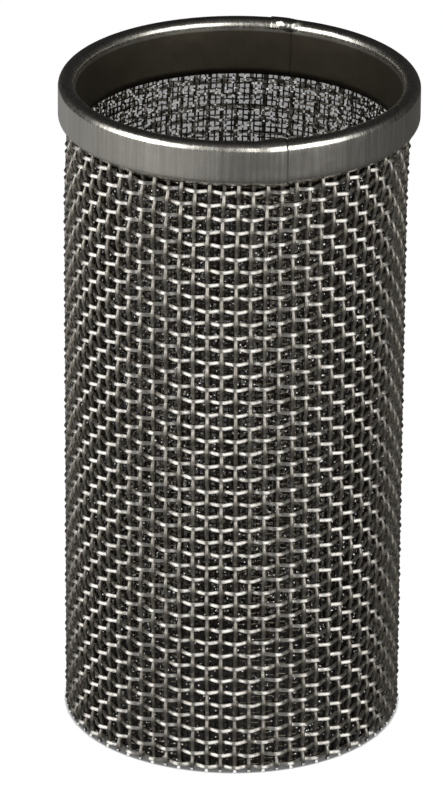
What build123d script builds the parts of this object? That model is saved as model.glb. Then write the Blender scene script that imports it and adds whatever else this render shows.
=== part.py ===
from build123d import *
from math import cos, degrees, pi, radians, sin
import os

# Strainer screen: a tube of coarse woven wire with a finer woven sleeve inside it, open at
# both ends. A collar of folded sheet metal grips the top edge of both tubes.
# Lengths are in millimetres. The origin is on the screen's axis, at the cut wire ends that
# it stands on, and +Z points up to the collar.

# Coarse screen
screen_radius = 25.0        # over the crowns of the coarse wires
screen_length = 96.2        # from the cut wire ends up to the edge inside the collar
coarse_wire = 0.55          # wire diameter
warp_pitch = 2.07           # upright wires, centre to centre
weft_pitch = 2.02           # level wires, centre to centre
first_weft = 0.72           # height of the lowest level wire
ridge_relief = 0.3          # how far a level ridge stands out from the wall
warps_per_post = 5          # upright wires from one post of the wall to the next
wefts_per_band = 6          # level wires from one band of the wall to the next
post_width = 3.5            # wall left between two windows side by side
band_height = 4.0           # wall left between two windows one above the other
ridge_root = 0.25           # how deep a ridge is rooted in the wall
overcut = 0.6               # how far a cutter runs past the faces that it cuts

# Fine sleeve
fine_wire = 0.21            # wire diameter
sleeve_clearance = 0.03     # between the two tubes

# Collar of folded channel
sheet = 0.3                 # sheet thickness
rim_width = 2.475           # over the rounded top edge
skirt_gap = 0.85            # between the coarse crowns and the outer skirt
skirt_length = 4.5          # straight part of the outer skirt
lip_width = 0.65            # how far the skirt's lip turns in
lip_drop = 0.7              # height of that lip
leg_length = 5.0            # straight part of the inner leg
leg_clearance = 0.03        # between the fine sleeve and the inner leg
rim_rise = 2.1              # leaning part of the inner leg, below the rounded edge
edge_clearance = 0.1        # from the tubes' top edge to where the leg starts to lean
fold_radius = 0.45          # outer radius of the small folds

# Lapped joints of the two channel pieces, as angles from the front (-Y) towards +X
front_end = 15.2            # where the long piece ends, on top of the short one
back_end = 169.2            # where the short piece ends, on top of the long one
lap = 8.0                   # angle that each end laps over its neighbour
lap_root = 2.0              # angle over which a lapping end is joined to its own piece
full_turn = 360

# Worked out from the sizes above
coarse_inner = screen_radius - 2 * coarse_wire
wall_radius = screen_radius - coarse_wire
ridge_radius = wall_radius + ridge_relief
mean_radius = (screen_radius + coarse_inner) / 2
warp_count = 2 * round(pi * mean_radius / warp_pitch)
warp_angle = full_turn / warp_count
post_count = warp_count // warps_per_post
post_angle = full_turn / post_count
sleeve_radius = coarse_inner - sleeve_clearance
sleeve_inner = sleeve_radius - 2 * fine_wire
wall_foot = first_weft - coarse_wire / 2

collar_radius = screen_radius + skirt_gap + sheet
leg_inner = sleeve_inner - leg_clearance - sheet
leg_top = screen_length + edge_clearance
leg_bottom = leg_top - leg_length
rim_height = leg_top + rim_rise
skirt_bottom = rim_height - skirt_length
rim_radius = rim_width / 2

visible_length = leg_bottom - first_weft
band_pitch = wefts_per_band * weft_pitch
band_count = int(visible_length / band_pitch) + 1
band_heights = [first_weft + k * band_pitch for k in range(band_count)]
window_width = warps_per_post * warp_pitch - post_width
window_height = band_pitch - band_height


def polar(radius, angle):
    """A point at an angle in degrees, counted from +X."""
    return (radius * cos(radians(angle)), radius * sin(radians(angle)))


def ribs():
    """Two upright wires on each post, in section."""
    wire = Rectangle(2 * coarse_wire, coarse_wire)
    sections = []
    for k in range(post_count):
        for angle in (k * post_angle, k * post_angle + warp_angle):
            x, y = polar(wall_radius, angle)
            sections.append(Location((x, y, 0), (0, 0, angle)) * wire)
    return sections


def windows():
    """The openings of the weave, as a grid of larger windows through both tubes."""
    depth = screen_radius - sleeve_inner
    centre = (screen_radius + sleeve_inner) / 2
    cutter = Box(depth + 2 * overcut, window_width, window_height)
    boxes = []
    for level in band_heights[:-1]:
        for k in range(post_count):
            angle = (k + 0.5) * post_angle + warp_angle / 2
            x, y = polar(centre, angle)
            place = Location((x, y, level + band_pitch / 2), (0, 0, angle))
            boxes.append(place * cutter)
    return boxes


def coarse_screen():
    """The coarse weave as one wall with upright ribs, level ridges and windows."""
    section = Circle(wall_radius).fuse(*ribs()) - Circle(coarse_inner)
    body = extrude(section, screen_length)
    ridge = Circle(ridge_radius) - Circle(wall_radius - ridge_root)
    ring = extrude(ridge, coarse_wire)
    rings = [Pos(0, 0, level - coarse_wire / 2) * ring for level in band_heights]
    foot = extrude(Circle(wall_radius) - Circle(coarse_inner - overcut), wall_foot)
    return body.fuse(*rings).cut(foot, *windows())


def fine_sleeve():
    """The fine weave as a thin tube, with the same windows so that liquid passes both."""
    tube = extrude(Circle(sleeve_radius) - Circle(sleeve_inner), screen_length - wall_foot)
    return (Pos(0, 0, wall_foot) * tube).cut(*windows())


def channel_section():
    """Section of the folded channel, as the sheet's outer face thickened inwards."""
    lip_tip = (collar_radius - lip_width, skirt_bottom - lip_drop)
    crease = (collar_radius, skirt_bottom)
    skirt_top = (collar_radius, rim_height)
    crown = (collar_radius - rim_radius, rim_height + rim_radius)
    leg_start = (collar_radius - rim_width, rim_height)
    knee = (leg_inner, leg_top)
    leg_end = (leg_inner, leg_bottom)
    skirt = FilletPolyline(lip_tip, crease, skirt_top, radius=fold_radius)
    rim = ThreePointArc(skirt_top, crown, leg_start)
    leg = FilletPolyline(leg_start, knee, leg_end, radius=fold_radius)
    face_line = Wire(skirt.edges() + rim.edges() + leg.edges())
    band = offset(face_line, sheet, side=Side.LEFT, closed=True)
    return Plane.XZ * make_face(band)


def lap_section():
    """Section of a lapping end: one more sheet over the skirt and the rounded edge."""
    skirt = Line((collar_radius, skirt_bottom), (collar_radius, rim_height))
    crown = (collar_radius - rim_radius, rim_height + rim_radius)
    rim = ThreePointArc((collar_radius, rim_height), crown, (collar_radius - rim_width, rim_height))
    face_line = Wire(skirt.edges() + rim.edges())
    band = offset(face_line, sheet, side=Side.RIGHT, closed=True)
    return Plane.XZ * make_face(band)


def swept(section, start, end):
    """A section turned about the axis, between two angles counted from the front."""
    arc = end - start
    return Rot(0, 0, start - 90) * revolve(section, Axis.Z, arc)


def channel(start, end, lap_end):
    """One channel piece, from a hidden end to a visible end that laps over the other."""
    body = swept(channel_section(), start, end)
    tongue = swept(lap_section(), end - lap_root, lap_end)
    return body.fuse(tongue)


os.makedirs("parts", exist_ok=True)
front_under = front_end - lap
back_under = back_end - lap
export_step(coarse_screen(), "parts/coarse_screen.step")
export_step(fine_sleeve(), "parts/fine_sleeve.step")
export_step(channel(front_under, back_under, back_end), "parts/collar_short_channel.step")
long_channel = channel(back_under, front_under + full_turn, front_end + full_turn)
export_step(long_channel, "parts/collar_long_channel.step")
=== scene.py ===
# %% [markdown]
# A strainer screen in woven wire
#
# The part is a tube of coarse woven stainless wire with a finer woven sleeve inside it. A collar
# of folded sheet metal grips the top edge of both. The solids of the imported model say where
# everything is. This lesson weaves the real wires over them, folds the collar from thin sheet,
# and lights the result like a small object on a white table.

# %% Load the fixed frame
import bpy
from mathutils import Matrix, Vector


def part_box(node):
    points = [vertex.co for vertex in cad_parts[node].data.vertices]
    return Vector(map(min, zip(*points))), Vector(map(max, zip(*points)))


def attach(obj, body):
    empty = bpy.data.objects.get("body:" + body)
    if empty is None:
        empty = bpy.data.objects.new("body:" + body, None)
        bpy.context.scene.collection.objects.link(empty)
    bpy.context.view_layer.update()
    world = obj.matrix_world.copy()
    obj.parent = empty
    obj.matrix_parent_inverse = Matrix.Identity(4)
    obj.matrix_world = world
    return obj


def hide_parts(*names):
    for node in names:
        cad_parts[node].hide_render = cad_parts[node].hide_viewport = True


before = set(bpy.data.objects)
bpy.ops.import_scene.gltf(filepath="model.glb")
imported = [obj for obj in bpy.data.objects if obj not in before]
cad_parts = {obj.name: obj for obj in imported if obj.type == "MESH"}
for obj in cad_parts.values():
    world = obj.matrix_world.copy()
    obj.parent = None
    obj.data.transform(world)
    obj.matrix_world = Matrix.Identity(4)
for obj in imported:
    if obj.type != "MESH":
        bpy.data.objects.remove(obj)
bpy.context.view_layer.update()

import math

import bmesh
import bpy
import numpy as np
from mathutils import Matrix, Vector

print("nodes:", sorted(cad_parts))

# %% [markdown]
# Everything is in metres, so millimetres get a name. The heights and radii come from the frame's
# boxes, because the wires have to lie where the solids are. Only what the solids leave out, such
# as the thickness of one wire, is written here as a size of its own.

# %% Sizes from the frame
MM = 0.001
TURN = 2 * math.pi
screen_low, screen_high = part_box("coarse_screen")
sleeve_low, sleeve_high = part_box("fine_sleeve")
collar_low, collar_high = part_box("collar_long_channel")
screen_radius = max(screen_high.x, screen_high.y)
screen_top = screen_high.z
sleeve_radius = sleeve_high.x
sheet = 0.3 * MM
collar_radius = -collar_low.x
rim_top = collar_high.z - sheet
print("screen radius", screen_radius, "collar radius", collar_radius, "rim top", rim_top)

# %% [markdown]
# Many pieces are made the same way, so one helper turns a bmesh into an object of the scene. It shades the faces
# smoothly and lets the piece ride on the part's one body.

# %% Helper: finish a piece
def finish_piece(name, bm, material):
    """Makes an object from a bmesh, with smooth faces, and ties it to the part's body."""
    bmesh.ops.recalc_face_normals(bm, faces=bm.faces[:])
    for face in bm.faces:
        face.smooth = True
    mesh = bpy.data.meshes.new(name)
    bm.to_mesh(mesh)
    bm.free()
    piece = bpy.data.objects.new(name, mesh)
    bpy.context.scene.collection.objects.link(piece)
    mesh.materials.append(material)
    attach(piece, "root")
    print(name, "has", len(mesh.polygons), "faces")
    return piece


def smoothstep(value, low, high):
    """Rises gently from 0 at low to 1 at high. Works on numbers and on arrays."""
    share = np.clip((value - low) / (high - low), 0, 1)
    return share * share * (3 - 2 * share)


# %% [markdown]
# The camera stands about a metre away and looks down by 24 degrees through a long lens, which is
# why the far side of the mouth looks almost as wide as the near side. The part leans a hair to
# the right in the picture, so the camera is rolled by the same angle the other way.

# %% Camera
SENSOR = 36.0
camera_distance = 931.7 * MM
camera_elevation = math.radians(24.126)
camera_roll = math.radians(0.4146)
camera_focal = 285.02
aim = Vector((-1.836 * MM, 0, 48.79 * MM))

camera_data = bpy.data.cameras.new("camera")
camera_data.sensor_width = SENSOR
camera_data.lens = camera_focal
camera_data.clip_end = 20
camera = bpy.data.objects.new("camera", camera_data)
bpy.context.scene.collection.objects.link(camera)
back = Vector((0, -math.cos(camera_elevation), math.sin(camera_elevation)))
turn = back.to_track_quat("Z", "Y").to_matrix().to_4x4() @ Matrix.Rotation(camera_roll, 4, "Z")
camera.matrix_world = Matrix.Translation(aim + back * camera_distance) @ turn
bpy.context.scene.camera = camera
bpy.context.scene.view_settings.view_transform = "Standard"
print("camera at", tuple(round(v, 4) for v in camera.matrix_world.translation))

# %% [markdown]
# A material is a small program, so a few helpers keep it short: one adds a node and sets its inputs, and one starts
# a metal. The sheet's finish has an effect, fine lines drawn across the metal, made as a node group with its own
# inputs and outputs.

# %% Helpers for materials
def add_node(tree, kind, values=None, **settings):
    """Adds a node, sets its own properties and the values of its input sockets."""
    node = tree.nodes.new(kind)
    for key, value in settings.items():
        setattr(node, key, value)
    for socket, value in (values or {}).items():
        node.inputs[socket].default_value = value
    return node


def new_metal(name, color, roughness):
    """Starts a metal: returns the material, its node tree and its Principled BSDF."""
    material = bpy.data.materials.new(name)
    material.use_nodes = True
    shader = material.node_tree.nodes["Principled BSDF"]
    shader.inputs["Base Color"].default_value = (*color, 1)
    shader.inputs["Metallic"].default_value = 1.0
    shader.inputs["Roughness"].default_value = roughness
    return material, material.node_tree, shader


# %% Node group: drawn lines
def make_drawn_lines():
    """A group that gives a value which changes fast across the metal and slowly along it."""
    group = bpy.data.node_groups.new("drawn_lines", "ShaderNodeTree")
    face = group.interface
    for name, default in (("Scale", 1000.0), ("Stretch", 0.05), ("Low", 0.0), ("High", 1.0)):
        socket = face.new_socket(name, in_out="INPUT", socket_type="NodeSocketFloat")
        socket.default_value = default
    face.new_socket("Value", in_out="OUTPUT", socket_type="NodeSocketFloat")
    inside = add_node(group, "NodeGroupInput")
    outside = add_node(group, "NodeGroupOutput")
    coords = add_node(group, "ShaderNodeTexCoord")
    along = add_node(group, "ShaderNodeCombineXYZ", {"X": 1.0, "Y": 1.0})
    squeeze = add_node(group, "ShaderNodeVectorMath", operation="MULTIPLY")
    noise = add_node(group, "ShaderNodeTexNoise", {"Detail": 3.0, "Roughness": 0.6})
    spread = add_node(group, "ShaderNodeMapRange", {"From Min": 0.3, "From Max": 0.7})
    link = group.links.new
    link(inside.outputs["Stretch"], along.inputs["Z"])
    link(coords.outputs["Object"], squeeze.inputs[0])
    link(along.outputs["Vector"], squeeze.inputs[1])
    link(squeeze.outputs["Vector"], noise.inputs["Vector"])
    link(inside.outputs["Scale"], noise.inputs["Scale"])
    link(noise.outputs["Fac"], spread.inputs["Value"])
    link(inside.outputs["Low"], spread.inputs["To Min"])
    link(inside.outputs["High"], spread.inputs["To Max"])
    link(spread.outputs["Result"], outside.inputs["Value"])
    return group


drawn_lines = make_drawn_lines()


def place_lines(tree, scale, stretch, low, high):
    """Places the drawn lines in a material, with the material's own values."""
    node = add_node(tree, "ShaderNodeGroup", node_tree=drawn_lines)
    for socket, value in (("Scale", scale), ("Stretch", stretch), ("Low", low), ("High", high)):
        node.inputs[socket].default_value = value
    return node.outputs["Value"]


# %% Across the grain
def add_around(tree):
    """Gives the level direction around the part's axis, at every point of the metal."""
    coords = add_node(tree, "ShaderNodeTexCoord")
    around = add_node(tree, "ShaderNodeVectorMath", {0: (0, 0, 1)}, operation="CROSS_PRODUCT")
    tree.links.new(coords.outputs["Object"], around.inputs[1])
    return around.outputs["Vector"]


# %% Finish: drawn wire
# Painted glints: their size at the front of the part, as a share of their size at the back.
painted_glint_front_share = 0.6
# Painted highlight on the wire tips: below this height and outside this radius the wire is pale and non-metal.
painted_tip_highlight_height = 0.42 * MM
painted_tip_highlight_radius = 24.72 * MM


def make_wire_metal(name, level, grain, bright, dull, roughness, painted_glint_size, dent_depth):
    """Drawn wire: duller patches, small dents, painted glints and painted tip highlights as pale non-metal spots,
    and highlights spread around it.
    """
    material, tree, shader = new_metal(name, bright, roughness)
    shader.inputs["Specular Tint"].default_value = (*(min(1, 2.5 * share) for share in bright), 1)
    coords = add_node(tree, "ShaderNodeTexCoord")
    patches = add_node(tree, "ShaderNodeTexNoise", {"Scale": 900.0, "Detail": 3.0})
    spread = add_node(tree, "ShaderNodeMapRange", {"From Min": 0.38, "From Max": 0.6})
    tint = add_node(tree, "ShaderNodeMix", data_type="RGBA")
    tint.inputs["A"].default_value = (*dull, 1)
    tint.inputs["B"].default_value = (*bright, 1)
    gloss = add_node(tree, "ShaderNodeMapRange", {"To Min": roughness * 1.2, "To Max": roughness * 0.8})
    dents = add_node(tree, "ShaderNodeTexNoise", {"Scale": 1600.0, "Detail": 1.0})
    bump = add_node(tree, "ShaderNodeBump", {"Strength": 1.0, "Distance": dent_depth})
    # Painted glints: small pale non-metal spots from a cell pattern, larger towards the back, stand in for light
    # caught by the crossings.
    cells = add_node(tree, "ShaderNodeTexVoronoi", {"Scale": 1400.0})
    sides = add_node(tree, "ShaderNodeSeparateXYZ")
    size = add_node(tree, "ShaderNodeMapRange", {"From Min": -20 * MM, "From Max": 20 * MM})
    size.inputs["To Min"].default_value = painted_glint_size * painted_glint_front_share
    size.inputs["To Max"].default_value = painted_glint_size
    painted_glints = add_node(tree, "ShaderNodeMath", operation="LESS_THAN")
    # Painted highlight: the lowest part of the outer wire tips is painted pale, as if it caught the lamps.
    flat = add_node(tree, "ShaderNodeVectorMath", {1: (1, 1, 0)}, operation="MULTIPLY")
    radius = add_node(tree, "ShaderNodeVectorMath", operation="LENGTH")
    outer = add_node(tree, "ShaderNodeMath", {1: painted_tip_highlight_radius}, operation="GREATER_THAN")
    lowest = add_node(tree, "ShaderNodeMath", {1: painted_tip_highlight_height}, operation="LESS_THAN")
    painted_tip_highlight = add_node(tree, "ShaderNodeMath", operation="MULTIPLY")
    painted_highlight_mask = add_node(tree, "ShaderNodeMath", operation="MAXIMUM")
    painted_highlight_color = add_node(tree, "ShaderNodeMix", data_type="RGBA")
    painted_highlight_color.inputs["B"].default_value = (0.95, 0.94, 0.92, 1)
    metal = add_node(tree, "ShaderNodeMath", {0: 1.0}, operation="SUBTRACT")
    link = tree.links.new
    link(coords.outputs["Object"], patches.inputs["Vector"])
    link(coords.outputs["Object"], dents.inputs["Vector"])
    link(coords.outputs["Object"], cells.inputs["Vector"])
    link(patches.outputs["Fac"], spread.inputs["Value"])
    link(spread.outputs["Result"], tint.inputs["Factor"])
    link(patches.outputs["Fac"], gloss.inputs["Value"])
    link(coords.outputs["Object"], sides.inputs["Vector"])
    link(sides.outputs["Y"], size.inputs["Value"])
    link(cells.outputs["Distance"], painted_glints.inputs[0])
    link(size.outputs["Result"], painted_glints.inputs[1])
    link(coords.outputs["Object"], flat.inputs[0])
    link(flat.outputs["Vector"], radius.inputs[0])
    link(radius.outputs["Value"], outer.inputs[0])
    link(sides.outputs["Z"], lowest.inputs[0])
    link(outer.outputs["Value"], painted_tip_highlight.inputs[0])
    link(lowest.outputs["Value"], painted_tip_highlight.inputs[1])
    link(painted_glints.outputs["Value"], painted_highlight_mask.inputs[0])
    link(painted_tip_highlight.outputs["Value"], painted_highlight_mask.inputs[1])
    link(painted_highlight_mask.outputs["Value"], painted_highlight_color.inputs["Factor"])
    link(painted_highlight_mask.outputs["Value"], metal.inputs[1])
    link(metal.outputs["Value"], shader.inputs["Metallic"])
    link(tint.outputs["Result"], painted_highlight_color.inputs["A"])
    link(painted_highlight_color.outputs["Result"], shader.inputs["Base Color"])
    link(gloss.outputs["Result"], shader.inputs["Roughness"])
    link(dents.outputs["Fac"], bump.inputs["Height"])
    link(bump.outputs["Normal"], shader.inputs["Normal"])
    shader.inputs["Anisotropic"].default_value = grain
    if level:
        across = add_node(tree, "ShaderNodeCombineXYZ", {"Z": 1.0}).outputs["Vector"]
    else:
        across = add_around(tree)
    link(across, shader.inputs["Tangent"])
    return material


# The coarse wefts and warps are one steel. The wefts' colour is painted lighter, a painted highlight, and the warps'
# colour is painted darker, painted shade.
WEFT_FINISH_PAINTED_LIGHTER = ((0.80, 0.775, 0.72), (0.62, 0.595, 0.545), 0.5, 0.0, 0.02 * MM)
WARP_FINISH_PAINTED_DARKER = ((0.37, 0.35, 0.31), (0.23, 0.215, 0.188), 0.46, 0.0, 0.05 * MM)
# The fine sleeve's steel is painted far darker than bare steel: painted shade for the inside of the screen.
FINE_FINISH_PAINTED_DARK = ((0.125, 0.11, 0.087), (0.052, 0.045, 0.034), 0.42, 0.33, 0.03 * MM)
coarse_metal = {
    "wefts": make_wire_metal("coarse_weft_steel_painted_lighter", True, 0.9, *WEFT_FINISH_PAINTED_LIGHTER),
    "warps": make_wire_metal("coarse_warp_steel_painted_darker", False, 0.6, *WARP_FINISH_PAINTED_DARKER),
}
fine_metal = {
    "wefts": make_wire_metal("fine_weft_steel_painted_dark", True, 0.9, *FINE_FINISH_PAINTED_DARK),
    "warps": make_wire_metal("fine_warp_steel_painted_dark", False, 0.9, *FINE_FINISH_PAINTED_DARK),
}


# %% Finish: brushed sheet
inside_radius = 24.5 * MM
hammered_place = (7.9 * MM, 23.4 * MM, 100.2 * MM)
# The collar's inside turns darker between these heights.
darker_inside_low = 97.8 * MM
darker_inside_high = 98.4 * MM


def make_sheet_metal():
    """Cold-rolled sheet for the collar: brushed upright, uneven, and darker and rougher on its inside below the rim.
    """
    material, tree, shader = new_metal("collar_sheet_steel", (0.5, 0.48, 0.44), 0.26)
    broad = place_lines(tree, 420.0, 0.06, 0.0, 1.0)
    fine = place_lines(tree, 2600.0, 0.03, 0.0, 1.0)
    both = add_node(tree, "ShaderNodeMath", operation="ADD")
    half = add_node(tree, "ShaderNodeMath", {1: 0.5}, operation="MULTIPLY")
    tint = add_node(tree, "ShaderNodeMix", data_type="RGBA")
    tint.inputs["A"].default_value = (0.44, 0.42, 0.375, 1)
    tint.inputs["B"].default_value = (0.60, 0.575, 0.52, 1)
    coords = add_node(tree, "ShaderNodeTexCoord")
    # Inside this radius and below the rim the sheet is made darker and rougher.
    level = add_node(tree, "ShaderNodeVectorMath", {1: (1, 1, 0)}, operation="MULTIPLY")
    radius = add_node(tree, "ShaderNodeVectorMath", operation="LENGTH")
    inside = add_node(tree, "ShaderNodeMath", {1: inside_radius}, operation="LESS_THAN")
    sides = add_node(tree, "ShaderNodeSeparateXYZ")
    below = add_node(tree, "ShaderNodeMapRange", {"From Min": darker_inside_low, "From Max": darker_inside_high, "To Min": 1.0, "To Max": 0.0})
    darker_inside_mask = add_node(tree, "ShaderNodeMath", operation="MULTIPLY")
    darker_inside_tint = add_node(tree, "ShaderNodeMix", data_type="RGBA")
    darker_inside_tint.inputs["B"].default_value = (0.075, 0.065, 0.048, 1)
    gloss = add_node(tree, "ShaderNodeMapRange", {"To Min": 0.24, "To Max": 0.31})
    dulled = add_node(tree, "ShaderNodeMath", {1: 0.25}, operation="MULTIPLY_ADD")
    scratches = add_node(tree, "ShaderNodeBump", {"Strength": 0.4, "Distance": 0.00002})
    waves = add_node(tree, "ShaderNodeTexNoise", {"Scale": 170.0, "Detail": 2.0})
    dents = add_node(tree, "ShaderNodeBump", {"Strength": 1.0, "Distance": 0.0002})
    away = add_node(tree, "ShaderNodeVectorMath", {1: hammered_place}, operation="DISTANCE")
    near = add_node(tree, "ShaderNodeMapRange", {"From Min": 1.4 * MM, "From Max": 2.3 * MM, "To Min": 1.0, "To Max": 0.0})
    facets = add_node(tree, "ShaderNodeTexVoronoi", {"Scale": 900.0}, feature="SMOOTH_F1")
    blows = add_node(tree, "ShaderNodeMath", operation="MULTIPLY")
    hammered = add_node(tree, "ShaderNodeBump", {"Strength": 1.0, "Distance": 0.0005})
    link = tree.links.new
    link(broad, both.inputs[0])
    link(fine, both.inputs[1])
    link(both.outputs["Value"], half.inputs[0])
    link(half.outputs["Value"], tint.inputs["Factor"])
    link(coords.outputs["Object"], level.inputs[0])
    link(level.outputs["Vector"], radius.inputs[0])
    link(radius.outputs["Value"], inside.inputs[0])
    link(coords.outputs["Object"], sides.inputs["Vector"])
    link(sides.outputs["Z"], below.inputs["Value"])
    link(inside.outputs["Value"], darker_inside_mask.inputs[0])
    link(below.outputs["Result"], darker_inside_mask.inputs[1])
    link(darker_inside_mask.outputs["Value"], darker_inside_tint.inputs["Factor"])
    link(tint.outputs["Result"], darker_inside_tint.inputs["A"])
    link(darker_inside_tint.outputs["Result"], shader.inputs["Base Color"])
    link(fine, gloss.inputs["Value"])
    link(gloss.outputs["Result"], dulled.inputs[2])
    link(darker_inside_mask.outputs["Value"], dulled.inputs[0])
    link(dulled.outputs["Value"], shader.inputs["Roughness"])
    link(coords.outputs["Object"], waves.inputs["Vector"])
    link(waves.outputs["Fac"], dents.inputs["Height"])
    link(coords.outputs["Object"], away.inputs[0])
    link(away.outputs["Value"], near.inputs["Value"])
    link(coords.outputs["Object"], facets.inputs["Vector"])
    link(facets.outputs["Distance"], blows.inputs[0])
    link(near.outputs["Result"], blows.inputs[1])
    link(blows.outputs["Value"], hammered.inputs["Height"])
    link(dents.outputs["Normal"], hammered.inputs["Normal"])
    link(fine, scratches.inputs["Height"])
    link(hammered.outputs["Normal"], scratches.inputs["Normal"])
    link(scratches.outputs["Normal"], shader.inputs["Normal"])
    shader.inputs["Anisotropic"].default_value = 0.5
    link(add_around(tree), shader.inputs["Tangent"])
    return material


sheet_metal = make_sheet_metal()

# %% [markdown]
# Woven cloth is two sets of wires at right angles. Each wire goes over one crossing wire and
# under the next, so it waves by half a wire's thickness to each side of the cloth's middle. On a
# tube the upright wires are the warps, and the level ones are the wefts. A cloth is then only a
# few numbers, kept together here for the coarse screen and for the fine sleeve.

# %% The two cloths
coarse = {
    "wire": 0.55 * MM,
    "sides": 8,
    "steps": 4,
    "over_first": -1,
    "outer": screen_radius + 0.03 * MM,
    "warps": 74,
    "pitch": 2.02 * MM,
    "first": 0.72 * MM,
    "low": 0.0,
    "top": screen_top,
    "turn": math.radians(-90 + 5.5),
    "wander": 0.07 * MM,
    "weft_share": 0.68,
    "warp_share": 0.4,
    "foot_share": 0.5,
    "tip_swing": 0.6 * MM,
    "flare": 0.0,
}
fine = {
    "wire": 0.25 * MM,
    "sides": 5,
    "steps": 1,
    "over_first": 1,
    "outer": sleeve_radius - 0.1 * MM,
    "warps": 176,
    "pitch": 0.847 * MM,
    "first": sleeve_low.z + 0.3 * MM,
    "low": sleeve_low.z,
    "top": sleeve_high.z,
    "turn": 0.0,
    "wander": 0.03 * MM,
    "weft_share": 0.5,
    "warp_share": 0.5,
    "foot_share": 0.5,
    "tip_swing": 0.0,
    "flare": 0.075,
}
for cloth in (coarse, fine):
    cloth["middle"] = cloth["outer"] - cloth["wire"] * (0.5 + cloth["weft_share"])
    corner = math.pi / cloth["sides"]
    cloth["section"] = cloth["wire"] / 2 * corner / math.sin(corner)
    cloth["wefts"] = int((cloth["top"] - cloth["first"]) / cloth["pitch"]) + 1
print("coarse wefts", coarse["wefts"], "fine wefts", fine["wefts"])


# %% One straight wire, then copies of it
def make_wefts(bm, cloth, first, count):
    """Level rings: one round section spun about the axis, then copied upwards."""
    height = cloth["first"] + first * cloth["pitch"]
    place = Matrix.Translation((cloth["middle"], 0, height)) @ Matrix.Rotation(TURN / 4, 4, "X")
    bmesh.ops.create_circle(bm, radius=cloth["section"], segments=cloth["sides"], matrix=place)
    bmesh.ops.spin(bm, geom=bm.verts[:] + bm.edges[:], axis=(0, 0, 1), angle=TURN,
                   steps=cloth["warps"] * cloth["steps"], use_merge=True)
    bmesh.ops.spin(bm, geom=bm.verts[:] + bm.edges[:] + bm.faces[:], axis=(0, 0, 1), angle=0,
                   dvec=(0, 0, cloth["pitch"]), steps=count - 1, use_duplicate=True)


def make_warps(bm, cloth, first, count):
    """Upright wires: one round section drawn upwards, closed at its ends, then copied around."""
    length = cloth["top"] - cloth["low"]
    steps = int(cloth["steps"] * length / cloth["pitch"])
    place = Matrix.Rotation(first * TURN / cloth["warps"], 4, "Z")
    place @= Matrix.Translation((cloth["middle"], 0, cloth["low"]))
    bmesh.ops.create_circle(bm, radius=cloth["section"], segments=cloth["sides"], matrix=place)
    bmesh.ops.spin(bm, geom=bm.verts[:] + bm.edges[:], axis=(0, 0, 1), angle=0,
                   dvec=(0, 0, length / steps), steps=steps)
    bmesh.ops.holes_fill(bm, edges=bm.edges[:], sides=cloth["sides"])
    bmesh.ops.spin(bm, geom=bm.verts[:] + bm.edges[:] + bm.faces[:], axis=(0, 0, 1),
                   angle=(count - 1) * TURN / cloth["warps"], steps=count - 1, use_duplicate=True)


# %% [markdown]
# The wires are still straight. The weave is one formula, applied to all points at once: a weft
# waves with the angle, a warp waves with the height, and the wave of every second wire is turned
# over. Real cloth is never even, so a sum of slow waves then shifts the wires a little, and the
# whole tube leans towards the collar, which sits slightly off its centre.

# %% Crimp the wires
lean = 0.42 * MM
lean_start = 80 * MM
twist = math.radians(1.0)
flare_start = 91 * MM


def slow_waves(angle, height, seed):
    """A smooth uneven field between about -1 and 1, the same on every run."""
    dice = np.random.default_rng(seed)
    total = np.zeros_like(angle)
    for _ in range(14):
        around = dice.integers(1, 14)
        along = dice.uniform(-600, 600)
        total += np.sin(around * angle + along * height + dice.uniform(0, TURN))
    return total / 5


def crimp(piece, cloth, kind):
    """Waves the wires of a piece in and out, shifts them unevenly and bends the tube."""
    count = len(piece.data.vertices)
    points = np.empty(count * 3)
    piece.data.vertices.foreach_get("co", points)
    points = points.reshape(-1, 3)
    radius = np.hypot(points[:, 0], points[:, 1])
    angle = np.arctan2(points[:, 1], points[:, 0])
    height = points[:, 2].copy()
    share = cloth["weft_share"]
    step = TURN / cloth["warps"]
    rows = (height - cloth["first"]) / cloth["pitch"]
    if kind == "weft":
        wave = np.cos(math.pi * angle / step) * (1 - 2 * (np.round(rows) % 2))
        height += cloth["wander"] * slow_waves(angle, np.round(rows) * 0.37, 3)
    else:
        wire = np.round(angle / step)
        foot = 1 - smoothstep(rows, 0.3, 1.3)
        share = cloth["warp_share"] + (cloth["foot_share"] - cloth["warp_share"]) * foot
        wave = -np.cos(math.pi * rows) * (1 - 2 * (wire % 2))
        angle += cloth["wander"] * slow_waves(wire * 0.37, height, 5) / cloth["middle"]
        loose = smoothstep(-rows, -0.1, 0.36) * (cloth["over_first"] * wave < 0)
        radius += cloth["tip_swing"] * loose
    radius += cloth["over_first"] * wave * cloth["wire"] * share
    radius += cloth["flare"] * np.clip(height - flare_start, 0, None)
    angle += cloth["turn"] + twist * (0.5 - height / screen_top)
    points[:, 0] = radius * np.cos(angle) + lean * smoothstep(height, lean_start, screen_top)
    points[:, 1] = radius * np.sin(angle)
    points[:, 2] = height
    piece.data.vertices.foreach_set("co", points.ravel())
    piece.data.update()


# %% Weave both cloths
def weave(name, cloth, metals, node):
    """Weaves a cloth in four pieces: lower and upper wefts, right and left warps."""
    half = cloth["wefts"] // 2
    for part, first, count in (("low", 0, half), ("high", half, cloth["wefts"] - half)):
        bm = bmesh.new()
        make_wefts(bm, cloth, first, count)
        piece = finish_piece(name + "_wefts_" + part, bm, metals["wefts"])
        crimp(piece, cloth, "weft")
        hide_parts(node)
    half = cloth["warps"] // 2
    for part, first in (("back", 0), ("front", half)):
        bm = bmesh.new()
        make_warps(bm, cloth, first, half)
        piece = finish_piece(name + "_warps_" + part, bm, metals["warps"])
        crimp(piece, cloth, "warp")
        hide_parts(node)


weave("coarse", coarse, coarse_metal, "coarse_screen")
weave("fine", fine, fine_metal, "fine_sleeve")

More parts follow.
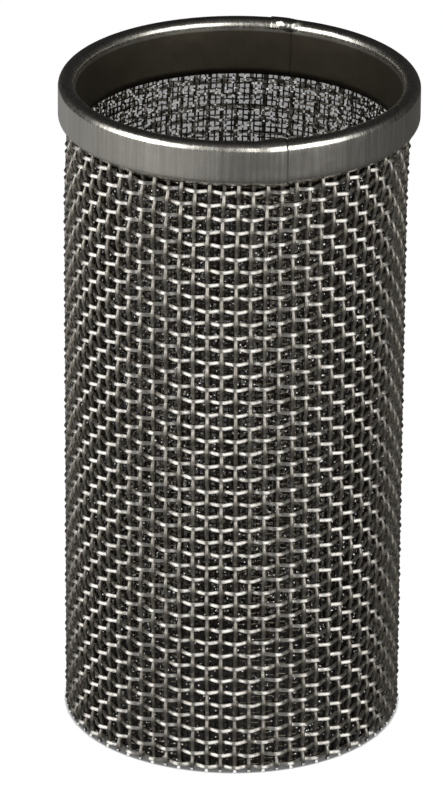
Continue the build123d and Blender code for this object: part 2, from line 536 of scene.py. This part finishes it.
# %% [markdown]
# The collar is a strip of sheet folded into a channel: an outer skirt with a lip turned in at its
# foot, a rounded rim, and an inner leg. A thin shell is best made from one face line, spun around
# the axis, and thickened inwards by a Solidify modifier.

# %% Collar section
rim_width = 2.475 * MM
skirt_length = 4.5 * MM
rim_rise = 2.1 * MM
leg_length = 5.0 * MM
lip_width = 0.65 * MM
lip_drop = 0.7 * MM
leg_radius = 23.12 * MM
fold_radius = 0.35 * MM
rim_radius = rim_width / 2
rim_height = rim_top - rim_radius
RIM_STEPS = 20


def collar_line(bm):
    """The collar's outer face as a chain of points in the XZ plane, from lip to inner leg."""
    skirt_foot = rim_height - skirt_length
    corners = [(collar_radius - lip_width, skirt_foot - lip_drop), (collar_radius, skirt_foot)]
    for step in range(RIM_STEPS + 1):
        angle = math.pi * step / RIM_STEPS
        centre = collar_radius - rim_radius
        corners.append((centre + rim_radius * math.cos(angle), rim_height + rim_radius * math.sin(angle)))
    corners.append((leg_radius, rim_height - rim_rise - leg_length))
    chain = [bm.verts.new((x, 0, z)) for x, z in corners]
    edges = [bm.edges.new(pair) for pair in zip(chain, chain[1:])]
    bmesh.ops.bevel(bm, geom=[chain[1]], offset=fold_radius, segments=4, profile=0.5, affect="VERTICES", material=-1)
    long_edges = [edge for edge in bm.edges if edge.calc_length() > 1.5 * MM]
    bmesh.ops.subdivide_edges(bm, edges=long_edges, cuts=6)


# %% Collar pieces
lap = 8.0
front_end = 15.2
back_end = 169.2
front_rise = 0.22 * MM
back_rise = 0.14 * MM


def make_channel(name, node, start, end, rise):
    """One channel piece between two angles from the front, its end raised over its neighbour."""
    bm = bmesh.new()
    collar_line(bm)
    bmesh.ops.rotate(bm, verts=bm.verts[:], matrix=Matrix.Rotation(math.radians(start - 90), 3, "Z"))
    bmesh.ops.spin(bm, geom=bm.verts[:] + bm.edges[:], axis=(0, 0, 1),
                   angle=math.radians(end - start), steps=int(end - start))
    bmesh.ops.recalc_face_normals(bm, faces=bm.faces[:])
    outside = max(bm.faces, key=lambda face: face.calc_center_median().xy.length)
    if outside.normal.dot(outside.calc_center_median()) < 0:
        bmesh.ops.reverse_faces(bm, faces=bm.faces[:])
    bm.normal_update()

    def past_end(point):
        """How far a point is past the piece's visible end, in degrees, and below 0 before it."""
        around = math.degrees(math.atan2(point.x, -point.y))
        return (around - start + 1) % 360 - 1 - (end - start)

    leg_ends = []
    for face in bm.faces:
        place = face.calc_center_median()
        on_leg = place.z < rim_height and place.xy.length < collar_radius - rim_radius
        if on_leg and past_end(place) > -lap:
            leg_ends.append(face)
    bmesh.ops.delete(bm, geom=leg_ends, context="FACES")
    for vertex in bm.verts:
        past = past_end(vertex.co)
        vertex.co += vertex.normal * rise * float(smoothstep(past, -lap - 1.5, -lap + 3))
        vertex.co.x += lean
    for face in bm.faces:
        face.smooth = True
    mesh = bpy.data.meshes.new(name)
    bm.to_mesh(mesh)
    bm.free()
    piece = bpy.data.objects.new(name, mesh)
    bpy.context.scene.collection.objects.link(piece)
    mesh.materials.append(sheet_metal)
    thick = piece.modifiers.new("sheet", "SOLIDIFY")
    thick.thickness = sheet
    thick.offset = -1
    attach(piece, "root")
    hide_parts(node)
    return piece


make_channel("collar_short_piece", "collar_short_channel", front_end - lap, back_end, back_rise)
make_channel("collar_long_piece", "collar_long_channel", back_end - lap, front_end + 360, front_rise)

# %% [markdown]
# The stage is a wide grey floor. The picture has a pure white ground around the part, as a cut-out
# has, while the gaps of the weave still show the grey floor. So the floor glows white only for a
# ray that comes straight from the camera. A clear tube stands inside the screen: a ray through the
# weave crosses it, the ray's transparent depth goes up, and the floor then keeps its own grey.
# The straight glow puts no light on the part. Rays that leave the metal see a fainter glow, brighter on the left
# than on the right, a painted reflection that the skirt and wires mirror. Close around the foot all glow fades, a
# painted shadow under the part, and straight rays keep a small share of it there.

# %% Clear tube
clear_radius = sleeve_radius - 1 * MM
bm = bmesh.new()
bmesh.ops.create_cone(bm, segments=64, radius1=clear_radius, radius2=clear_radius,
                      depth=sleeve_high.z, matrix=Matrix.Translation((0, 0, sleeve_high.z / 2)))
clear_mesh = bpy.data.meshes.new("clear_tube")
bm.to_mesh(clear_mesh)
bm.free()
clear_tube = bpy.data.objects.new("clear_tube", clear_mesh)
bpy.context.scene.collection.objects.link(clear_tube)
clear = bpy.data.materials.new("clear")
clear.use_nodes = True
tree = clear.node_tree
passing = add_node(tree, "ShaderNodeBsdfTransparent")
tree.links.new(passing.outputs["BSDF"], tree.nodes["Material Output"].inputs["Surface"])
tree.nodes.remove(tree.nodes["Principled BSDF"])
clear_mesh.materials.append(clear)
clear_tube.visible_diffuse = False
clear_tube.visible_glossy = False
clear_tube.visible_shadow = False

# %% Ways to see the stage
def add_views(tree):
    """Tells camera rays apart: straight ones, and ones that came in through the open mouth."""
    ray = add_node(tree, "ShaderNodeLightPath")
    views = [ray]
    for crossings in (0.5, 1.5):
        fewer = add_node(tree, "ShaderNodeMath", {1: crossings}, operation="LESS_THAN")
        view = add_node(tree, "ShaderNodeMath", operation="MULTIPLY")
        tree.links.new(ray.outputs["Transparent Depth"], fewer.inputs[0])
        tree.links.new(ray.outputs["Is Camera Ray"], view.inputs[0])
        tree.links.new(fewer.outputs["Value"], view.inputs[1])
        views.append(view.outputs["Value"])
    return views


# %% Floor
floor_radius = 0.42
# Painted shadow under the part: the floor's glow fades out between these two radii around the foot.
glow_inner = 24.7 * MM
glow_outer = 25.2 * MM
# Inside the painted shadow, straight rays keep this share of the glow.
painted_foot_shadow_share = 0.11
straight_glow = 0.97
mouth_glow = 0.26
# Painted reflection: the floor glows for rays that leave the metal, brighter on the left than on the right.
left_reflection_glow = 0.3
right_reflection_glow = 0.04
floor_grey = 0.1

bm = bmesh.new()
bmesh.ops.create_circle(bm, cap_ends=True, radius=floor_radius, segments=64)
floor_mesh = bpy.data.meshes.new("floor")
bm.to_mesh(floor_mesh)
bm.free()
floor = bpy.data.objects.new("floor", floor_mesh)
bpy.context.scene.collection.objects.link(floor)

paper = bpy.data.materials.new("white_paper")
paper.use_nodes = True
tree = paper.node_tree
shader = tree.nodes["Principled BSDF"]
shader.inputs["Base Color"].default_value = (floor_grey, floor_grey, floor_grey, 1)
shader.inputs["Roughness"].default_value = 0.9
shader.inputs["Emission Color"].default_value = (1, 1, 1, 1)
ray, straight, from_mouth = add_views(tree)
coords = add_node(tree, "ShaderNodeTexCoord")
sides = add_node(tree, "ShaderNodeSeparateXYZ")
slope = add_node(tree, "ShaderNodeMapRange", {"From Min": -0.12, "From Max": -0.03, "To Min": left_reflection_glow, "To Max": right_reflection_glow})
painted_reflection_glow = add_node(tree, "ShaderNodeMath", operation="MULTIPLY")
in_mouth = add_node(tree, "ShaderNodeMath", {1: mouth_glow}, operation="MULTIPLY")
in_open = add_node(tree, "ShaderNodeMath", {1: straight_glow}, operation="MULTIPLY")
dim_glow = add_node(tree, "ShaderNodeMath", operation="MAXIMUM")
glow = add_node(tree, "ShaderNodeMath", operation="MAXIMUM")
distance = add_node(tree, "ShaderNodeVectorMath", operation="LENGTH")
shade = add_node(tree, "ShaderNodeMapRange", {"From Min": glow_inner, "From Max": glow_outer})
by_foot = add_node(tree, "ShaderNodeMath", {1: painted_foot_shadow_share}, operation="MULTIPLY")
kept = add_node(tree, "ShaderNodeMath", operation="MULTIPLY")
link = tree.links.new
link(coords.outputs["Object"], sides.inputs["Vector"])
link(sides.outputs["X"], slope.inputs["Value"])
link(slope.outputs["Result"], painted_reflection_glow.inputs[0])
link(ray.outputs["Is Glossy Ray"], painted_reflection_glow.inputs[1])
link(from_mouth, in_mouth.inputs[0])
link(straight, in_open.inputs[0])
link(painted_reflection_glow.outputs["Value"], dim_glow.inputs[0])
link(in_mouth.outputs["Value"], dim_glow.inputs[1])
link(dim_glow.outputs["Value"], glow.inputs[0])
link(in_open.outputs["Value"], glow.inputs[1])
link(coords.outputs["Object"], distance.inputs[0])
link(distance.outputs["Value"], shade.inputs["Value"])
link(straight, by_foot.inputs[0])
link(by_foot.outputs["Value"], shade.inputs["To Min"])
link(glow.outputs["Value"], kept.inputs[0])
link(shade.outputs["Result"], kept.inputs[1])
link(kept.outputs["Value"], shader.inputs["Emission Strength"])
floor_mesh.materials.append(paper)

# %% World
room_front = 0.09
room_back = 0.02
world = bpy.data.worlds.new("studio")
bpy.context.scene.world = world
world.use_nodes = True
tree = world.node_tree
background = tree.nodes["Background"]
ray, straight, from_mouth = add_views(tree)
coords = add_node(tree, "ShaderNodeTexCoord")
sides = add_node(tree, "ShaderNodeSeparateXYZ")
room = add_node(tree, "ShaderNodeMapRange", {"From Min": -0.5, "From Max": 0.3, "To Min": room_front, "To Max": room_back})
brightness = add_node(tree, "ShaderNodeMapRange", {"To Max": 1.0})
background.inputs["Color"].default_value = (1, 1, 1, 1)
link = tree.links.new
link(coords.outputs["Generated"], sides.inputs["Vector"])
link(sides.outputs["Y"], room.inputs["Value"])
link(straight, brightness.inputs["Value"])
link(room.outputs["Result"], brightness.inputs["To Min"])
link(brightness.outputs["Result"], background.inputs["Strength"])


# %% [markdown]
# Bright metal shows the lamps themselves, so their shape matters more than their strength. Two
# upright soft boxes stand to the left and right of the camera. Their lower edges are below the
# table's height, so that even the skirt mirrors them, and the gap between them is the darker
# stripe down the middle of the rim. The table is small enough to leave them in view.

# %% Lamps
def soft_box(name, azimuth, distance, width, low, high, brightness):
    """An upright rectangular lamp between two heights, turned towards the part's axis."""
    height = high - low
    lamp = bpy.data.lights.new(name, "AREA")
    lamp.shape = "RECTANGLE"
    lamp.size = width
    lamp.size_y = height
    lamp.energy = brightness * math.pi * width * height
    holder = bpy.data.objects.new(name, lamp)
    bpy.context.scene.collection.objects.link(holder)
    around = math.radians(azimuth)
    away = Vector((math.sin(around), -math.cos(around), 0))
    turn = away.to_track_quat("Z", "Y").to_matrix().to_4x4()
    centre = away * distance + Vector((0, 0, (low + high) / 2))
    holder.matrix_world = Matrix.Translation(centre) @ turn
    holder.visible_camera = False
    return holder


soft_box("left_soft_box", -59, 0.6, 0.585, 0.035, 0.6, 4.2)
soft_box("right_soft_box", 37, 0.6, 0.66, 0.035, 0.6, 3.9)
